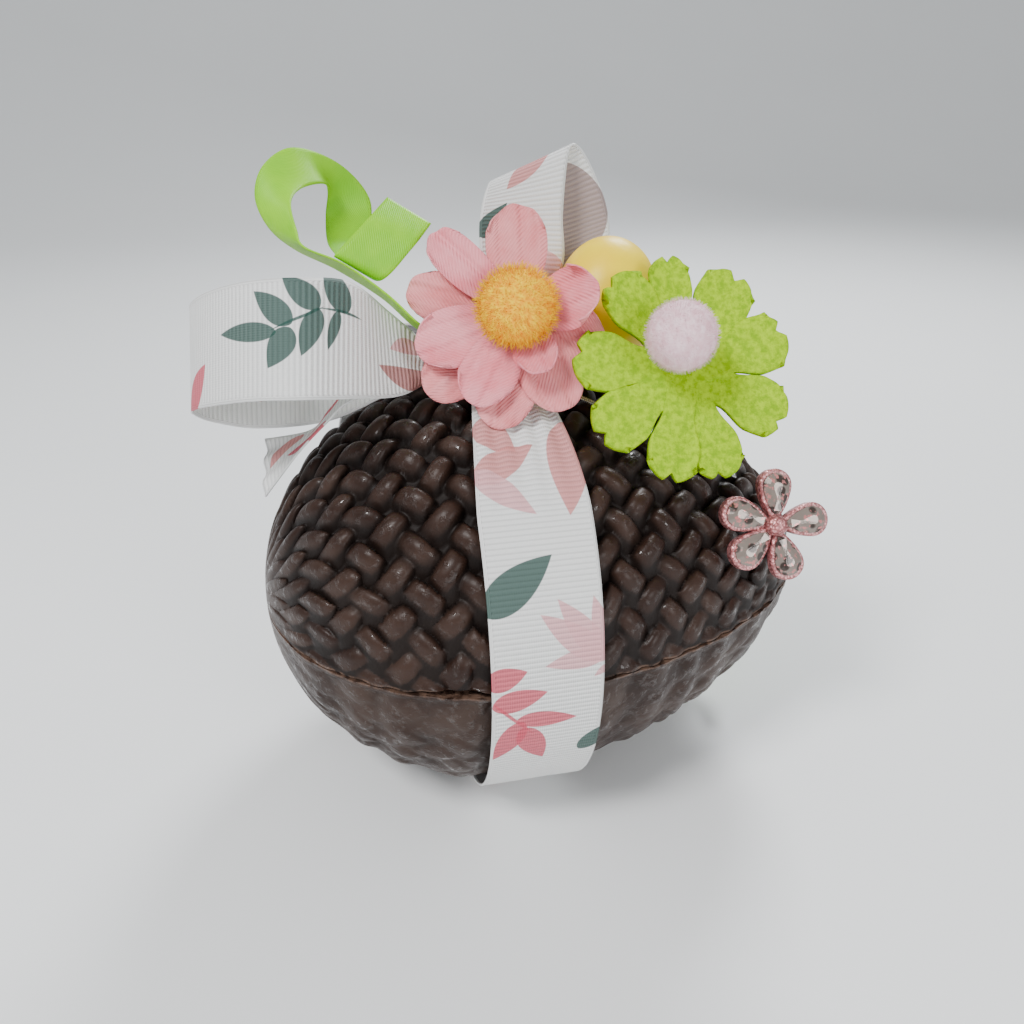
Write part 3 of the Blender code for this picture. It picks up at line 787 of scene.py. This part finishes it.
satin_paint = Paint("lime satin", Specular_IOR_Level=0.3)
across, along = satin_paint.cloth_place()
twill = ((across + along * 0.8) * (2 * math.pi / 0.55)).sine()
satin_edge = abs(across).step(4.6, 4.8)
streak = satin_paint.grain(90).step(0.35, 0.65)
satin = satin_paint.wear(
    Base_Color=satin_paint.blend(streak * 0.5 + twill * 0.12 + satin_edge * 0.2,
                                 (0.20, 0.56, 0.0), (0.33, 0.72, 0.0)),
    Roughness=0.36 + satin_paint.grain(150) * 0.15,
    Normal=satin_paint.relief(twill * 0.025 + satin_edge * 0.08))
for name, node, stations, steps, place in (
        ("satin_curl", "green_curl", GREEN_CURL, 150, display),
        ("satin_tail", "green_tail", GREEN_TAIL, 90, on_shell)):
    piece, length, modelled_area = strip(
        name, stations, SATIN_HALF, steps, place, SATIN_THICKNESS, pleats=0.0, across=10)
    dress(piece, satin, "green_satin", node)
    declare_ribbon(piece, SATIN_WIDTH, length * MM, modelled_area)
    print(name, round(length), "mm long")

# %% [markdown]
# ## The pink cloth flower
#
# Its petals are cut from a ribbed cloth, singed at the edge and pinched at the base, so each
# one cups, creases lengthwise and ruffles towards its tip.

# %% Cut and crease the petals
PINK_FRAME = facing((5, 11, 20), (-4, 5))
PINK_HUB = 4.5
PINK_THICKNESS = 0.00035
PINK_FRONT = ((12, 18, 14, 6), (138, 26, 10, 3), (201, 24, 14, 2), (245, 23, 13, 2), (292, 16, 10, 6))
PINK_BACK = (
    (92, 25, 14, 2), (166, 26, 12, 1), (221, 27, 14, 0), (260, 26, 14, 0), (298, 24, 14, 0), (340, 20, 13, 0))


def petal(body, frame_of, shape, hub, outline, surface):
    """One petal as a bent grid. outline gives the share of its width, surface its height."""
    direction, length, width, lift = shape
    turn = Matrix.Rotation(math.radians(direction), 4, "Z")

    def place(u, v):
        side = 2 * u - 1
        rounding = 0.52 * width * v ** 5 * (1 - math.sqrt(1 - 0.97 * side * side))
        out = hub * 0.3 + (length - hub * 0.3) * v - rounding
        spread = side * width / 2 * outline(v)
        height = surface(side, v, lift)
        return frame_of @ turn @ (Vector((out, spread, height)) * MM)

    bent_grid(body, 20, 28, place, lambda u, v: ((2 * u - 1) * width / 2, v * length))


def cloth_petals(name, node, petals, frame_of, material):
    body = bmesh.new()
    for index, shape in enumerate(petals):
        lean, ruffle = chance.uniform(-0.5, 0.5), chance.uniform(0, 6)

        def outline(v):
            return (0.32 + 0.68 * math.sin(math.pi / 2 * min(1, v / 0.66))) * (1 - 0.12 * v ** 6)

        def surface(side, v, lift, lean=lean, ruffle=ruffle, layer=index * 0.12):
            crease = 0.35 * math.cos(3 * math.pi * side) * (1 - v) + 0.5 * lean * side * v
            wave = 0.55 * math.sin(2.3 * math.pi * side + ruffle) * v ** 2
            return lift * v ** 2 + 1.5 * side ** 2 * v * (1.2 - v) + crease + wave + layer

        petal(body, frame_of, shape, PINK_HUB, outline, surface)
    bmesh.ops.remove_doubles(body, verts=body.verts, dist=0.00001)
    bmesh.ops.recalc_face_normals(body, faces=body.faces)
    piece = wall(new_piece(name, body), PINK_THICKNESS)
    return dress(piece, material, "pink_cloth", node)


def pink_paint(name, deep, light):
    paint = Paint(name, Specular_IOR_Level=0.2)
    across, along = paint.cloth_place()
    rib = ((along * 0.8 + across) * (2 * math.pi / 0.9)).sine()
    vein = (across * (2 * math.pi / 2.6) + paint.grain(300) * 3).sine()
    shade = paint.grain(110, 3).step(0.3, 0.7) * 0.6 + rib * 0.10 + 0.2
    heart = 1 - along.step(4, 13)
    look = paint.blend(heart * 0.5, paint.blend(shade, deep, light), deep)
    return paint.wear(Base_Color=look, Roughness=0.7 + paint.grain(250) * 0.15,
                      Normal=paint.relief(rib * 0.05 + vein * 0.12 + paint.grain(900) * 0.05))


cloth_petals("cloth_petals_front", "pink_petals_front", PINK_FRONT, PINK_FRAME,
             pink_paint("pink cloth", (0.76, 0.17, 0.21), (0.90, 0.37, 0.41)))
cloth_petals("cloth_petals_back", "pink_petals_back", PINK_BACK,
             PINK_FRAME @ Matrix.Translation((0, 0, -0.0014)),
             pink_paint("deep pink cloth", (0.68, 0.17, 0.18), (0.86, 0.35, 0.36)))
print("pink petals:", len(PINK_FRONT) + len(PINK_BACK))

# %% [markdown]
# ## Fluff
#
# The flower's heart and the pompom are cut pile: hundreds of fine fibres on a soft core. Each
# fibre is one thin tapered cone, which keeps the heap light.

# %% Grow fibres on a core
def fluffy(name, node, frame_of, radius, squash, material, slot, fibres, fibre_length, thick):
    """A core with fibres standing out of it. The core is inside the CAD dome."""
    body = bmesh.new()
    bmesh.ops.create_icosphere(body, subdivisions=4, radius=radius * 0.92)
    for vertex in body.verts:
        vertex.co *= 1 + 0.05 * noise.noise(vertex.co * 600)
    golden = math.pi * (3 - math.sqrt(5))
    for index in range(fibres):
        level = 1 - 2 * (index + 0.5) / fibres
        ring = math.sqrt(1 - level * level)
        out = Vector((ring * math.cos(golden * index), ring * math.sin(golden * index), level))
        lean = Vector((chance.uniform(-1, 1), chance.uniform(-1, 1), chance.uniform(-1, 1))) * 0.55
        aim = (out + lean).normalized()
        length = fibre_length * chance.uniform(0.6, 1.25)
        stand = Matrix.Translation(out * radius * 0.90 + aim * length / 2)
        stand = stand @ aim.to_track_quat("Z", "Y").to_matrix().to_4x4()
        bmesh.ops.create_cone(body, cap_ends=True, segments=3, radius1=thick, radius2=thick * 0.35,
                              depth=length, matrix=stand)
    bmesh.ops.scale(body, vec=(1, 1, squash), verts=body.verts)
    bmesh.ops.transform(body, matrix=frame_of, verts=body.verts)
    return dress(new_piece(name, body), material, slot, node)


def fluff_paint(name, dark, light):
    paint = Paint(name, Specular_IOR_Level=0.15)
    tuft = paint.grain(700, 3).step(0.3, 0.7)
    return paint.wear(Base_Color=paint.blend(tuft, dark, light), Roughness=0.85 + tuft * 0.1,
                      Normal=paint.relief(paint.grain(1800) * 0.2))


HEART_FIBRES = 2000
PILE_FIBRES = 2600
fluffy("fluffy_heart", "pink_flower_centre", PINK_FRAME @ Matrix.Translation((0, 0, 0.0056)), 0.0088, 0.55,
       fluff_paint("yellow fluff", (0.92, 0.38, 0.0), (1.0, 0.64, 0.0)), "yellow_fluff", HEART_FIBRES,
       0.0020, 0.00010)
fluffy("fluffy_pompom", "felt_pompom", facing((39.5, 4.5, 28.5)), 0.0080, 1.0,
       fluff_paint("pink pile", (0.82, 0.52, 0.58), (0.94, 0.72, 0.77)), "pink_pompom", PILE_FIBRES,
       0.0010, 0.00006)
print("fibres:", HEART_FIBRES + PILE_FIBRES)

# %% [markdown]
# ## The little yellow egg
#
# A light foam egg with a painted satin skin. The paint pools slightly, so it shades from
# lemon to orange.

# %% Turn the yellow egg
YELLOW_RADIUS = 0.0122
YELLOW_LENGTH = 0.034
yellow_build = bmesh.new()
bmesh.ops.create_uvsphere(yellow_build, u_segments=96, v_segments=64, radius=YELLOW_RADIUS)
for vertex in yellow_build.verts:
    level = vertex.co.z / YELLOW_RADIUS
    narrow = (1 + 0.10 * level) * (1 + 0.012 * noise.noise(vertex.co * 160))
    vertex.co = (vertex.co.x * narrow, vertex.co.y * narrow, vertex.co.z * YELLOW_LENGTH / 2 / YELLOW_RADIUS)
yellow_lean = Matrix.Translation(display((26, 16, 3))) @ Matrix.Rotation(math.radians(6), 4, "Y")
yellow_lean = yellow_lean @ Matrix.Rotation(math.radians(-10), 4, "X")
bmesh.ops.transform(yellow_build, matrix=yellow_lean, verts=yellow_build.verts)
yellow_paint = Paint("yellow painted foam", Specular_IOR_Level=0.3, Coat_Roughness=0.3)
pool = yellow_paint.grain(55, 3)
yellow_skin = yellow_paint.wear(
    Base_Color=yellow_paint.blend(pool.step(0.35, 0.75), (0.96, 0.70, 0.0), (0.92, 0.50, 0.0)),
    Roughness=0.34 + yellow_paint.grain(300) * 0.2,
    Coat_Weight=0.05 + pool * 0.1,
    Normal=yellow_paint.relief(yellow_paint.grain(420, 4) * 0.10))
dress(new_piece("painted_egg", yellow_build), yellow_skin, "yellow_shell", "yellow_egg")
print("yellow egg", round(YELLOW_LENGTH / MM), "mm tall")

# %% [markdown]
# ## The felt flower
#
# Nine petals die-cut from thick lime felt, each with a notch in its tip. Felt has no weave: its
# matted fibres show as a mottle, and the cut edge is soft.

# %% Cut the felt flower
FELT_FRAME = facing((42, -1, 18), (12, 6))
FELT_ANGLES = (19, 59, 98, 130, 177, 218, 259, 290, 336)
FELT_NARROW = {98: 0.72, 130: 0.9, 259: 0.88, 290: 0.88}
FELT_LENGTH = 26
FELT_WIDTH = 13.5
FELT_NOTCH = 1.9
FELT_THICKNESS = 0.0015


def felt_place(direction, narrow):
    turn = FELT_FRAME @ Matrix.Rotation(math.radians(direction), 4, "Z")
    sway = chance.uniform(-0.5, 0.9)
    lay = chance.uniform(-0.12, 0.12)
    notch_side = chance.choice((-0.3, 0.0, 0.3))

    def place(u, v):
        side = 2 * u - 1
        grown = min(1.0, max(0.0, (v - 0.40) / 0.32))
        lobe = 0.62 + 0.38 * grown * grown * (3 - 2 * grown)
        reach = FELT_LENGTH * v
        notch = FELT_NOTCH * max(0.0, 1 - abs(side - notch_side) / 0.3)
        rounding = 5.0 * (1 - math.sqrt(1 - 0.92 * side * side))
        reach -= v ** 6 * (rounding + notch)
        spread = side * FELT_WIDTH * narrow / 2 * lobe * (1 - 0.12 * v ** 8)
        return turn @ (Vector((reach, spread, lay + (1.0 + sway) * v * v + 0.4 * side * side * v)) * MM)
    return place


felt_build = bmesh.new()
for direction in FELT_ANGLES:
    bent_grid(felt_build, 26, 30, felt_place(direction, FELT_NARROW.get(direction, 1.0)),
              lambda u, v: ((2 * u - 1) * 7, v * FELT_LENGTH))
bmesh.ops.remove_doubles(felt_build, verts=felt_build.verts, dist=0.00001)
bmesh.ops.recalc_face_normals(felt_build, faces=felt_build.faces)
felt_piece = wall(new_piece("felt_petals", felt_build), FELT_THICKNESS)
felt_paint = Paint("lime felt", Specular_IOR_Level=0.1)
mat = felt_paint.grain(650, 5, 0.7)
felt_skin = felt_paint.wear(
    Base_Color=felt_paint.blend(mat.step(0.35, 0.65), (0.22, 0.42, 0.0), (0.42, 0.66, 0.0)),
    Roughness=0.88 + mat * 0.1,
    Normal=felt_paint.relief(mat * 0.35 + felt_paint.grain(2500) * 0.1))
dress(felt_piece, felt_skin, "green_felt", "felt_flower")
print("felt petals:", len(FELT_ANGLES))

# %% [markdown]
# ## Stems
#
# Florist's wire holds both flowers to the knot. It is wound with green paper tape, which shows
# as a slow spiral.

# %% Wrap the stems
tape_paint = Paint("green stem tape")
around, along = tape_paint.cloth_place()
lap = ((around + along * 0.5) * 2 * math.pi).sine()
# Painted shade: the colour is darker along the spiral groove where each turn of tape laps over the last.
tape = tape_paint.wear(
    Base_Color=tape_paint.blend(lap.step(-0.9, 0.4), (0.10, 0.24, 0.012), (0.26, 0.48, 0.03)),
    Roughness=0.6 + tape_paint.grain(400) * 0.2, Normal=tape_paint.relief(lap * 0.06))


def stem(name, node, start, bend, end, radius):
    points = []
    for index in range(25):
        t = index / 24
        points.append(start * (1 - t) ** 2 + bend * 2 * t * (1 - t) + end * t ** 2)
    piece, length = tube(name, points, radius)
    dress(piece, tape, "green_satin", node)
    print(name, round(length / MM), "mm")


calyx_base = PINK_FRAME @ Vector((0, 0, -0.0034))
calyx_end = TOP + Vector((0, -0.0067, 0.0085))
stem("wrapped_pink_stem", "pink_flower_stem", calyx_base, (calyx_base + calyx_end) / 2, calyx_end, 0.0012)
felt_start = TOP + Vector((0.0068, -0.002, 0.004))
felt_end = FELT_FRAME @ Vector((0, 0, -0.0024))
stem("wrapped_felt_stem", "felt_flower_stem", felt_start,
     felt_start.lerp(felt_end, 0.5) + Vector((0, 0, -0.002)), felt_end, 0.0008)

# %% [markdown]
# ## The gem flower
#
# A moulded charm: five teardrop settings with a glitter rim, each with a faceted clear stone
# over grey foil, round a knobbly centre.

# %% Set the gem flower
GEM_FRAME = facing((65, -36, 8), (8, 0))
GEM_ANGLES = (89, 163, 223, 290, 9)
GEM_LENGTH = 13.4
GEM_WIDTH = 9.6
GEM_THICKNESS = 3.4


def teardrop(body, direction, shrink, bottom, top, around, crown=0.0):
    """A teardrop slab: a disc pulled to a point at the hub, extruded and crowned."""
    drop = bmesh.new()
    made = bmesh.ops.create_circle(drop, cap_ends=True, segments=around, radius=1.0)["verts"]
    middle = GEM_LENGTH * 0.60
    for vertex in made:
        pull = 0.5 - vertex.co.x / 2
        out = middle + vertex.co.x * (GEM_LENGTH - middle if vertex.co.x > 0 else middle - 1.2) * shrink
        vertex.co = (out, vertex.co.y * GEM_WIDTH / 2 * (1 - 0.55 * pull ** 1.5) * shrink, bottom)
    grown = bmesh.ops.extrude_face_region(drop, geom=list(drop.faces))["geom"]
    for item in grown:
        if isinstance(item, bmesh.types.BMVert):
            item.co.z = top
    lid = next(item for item in grown if isinstance(item, bmesh.types.BMFace))
    if crown:
        for inset, rise in ((1.3, 1.0), (0.9, 1.3)):
            bmesh.ops.inset_region(drop, faces=[lid], thickness=inset)
            for vertex in lid.verts:
                vertex.co.z = top + crown * rise
    bmesh.ops.scale(drop, vec=(MM, MM, MM), verts=drop.verts)
    bmesh.ops.rotate(drop, matrix=Matrix.Rotation(math.radians(direction), 3, "Z"), verts=drop.verts)
    bmesh.ops.transform(drop, matrix=GEM_FRAME, verts=drop.verts)
    bmesh.ops.recalc_face_normals(drop, faces=drop.faces)
    petal_mesh = bpy.data.meshes.new("gem petal")
    drop.to_mesh(petal_mesh)
    drop.free()
    body.from_mesh(petal_mesh)


rims = bmesh.new()
stones = bmesh.new()
for direction in GEM_ANGLES:
    teardrop(rims, direction, 1.0, -GEM_THICKNESS / 2, GEM_THICKNESS / 2 - 0.5, around=32)
    teardrop(stones, direction, 0.80, GEM_THICKNESS / 2 - 0.9, GEM_THICKNESS / 2 - 0.1, around=14, crown=0.7)
knob = bmesh.ops.create_icosphere(rims, subdivisions=3, radius=0.0026)["verts"]
for vertex in knob:
    vertex.co *= 1 + 0.16 * noise.noise(vertex.co * 1500)
bmesh.ops.transform(rims, matrix=GEM_FRAME @ Matrix.Translation((0, 0, 0.0014)), verts=knob)
rim_piece = new_piece("glitter_setting", rims)
rim_piece.data.set_sharp_from_angle(angle=math.radians(50))
rim_bevel = rim_piece.modifiers.new("rounded rim", "BEVEL")
rim_bevel.width = 0.0005
rim_bevel.segments = 3
rim_bevel.limit_method = "ANGLE"
rim_bevel.angle_limit = math.radians(60)
stone_piece = new_piece("faceted_stones", stones, smooth=False)

glitter_paint = Paint("rose glitter", Coat_Weight=0.3)
flake = glitter_paint.cells(1500)
glitter = glitter_paint.wear(
    Base_Color=glitter_paint.blend(flake.step(0.2, 0.7), (0.74, 0.33, 0.33), (0.36, 0.12, 0.12)),
    Metallic=0.35 + flake * 0.4, Roughness=0.22 + flake * 0.3, Normal=glitter_paint.relief(flake * 0.25))
stone_paint = Paint("foiled stone", IOR=1.5)
# Painted reflections: the dark and grey-beige cells on the grey foil stand for facets that mirror what is
# round them. The pink specks are glitter in the stone.
facet_reflection_cells = stone_paint.cells(330)
foil_and_reflections = stone_paint.blend(facet_reflection_cells.step(0.3, 0.45), (0.045, 0.032, 0.027), (0.23, 0.19, 0.165))
stone = stone_paint.wear(
    Base_Color=stone_paint.blend(stone_paint.grain(900, 2).step(0.56, 0.66), foil_and_reflections, (0.55, 0.20, 0.19)),
    Metallic=0.15 + facet_reflection_cells * 0.2, Roughness=0.12 + facet_reflection_cells * 0.15)
dress(rim_piece, glitter, "rose_gem", "gem_flower")
dress(stone_piece, stone, "rose_gem", "gem_flower")
print("gem petals:", len(GEM_ANGLES))
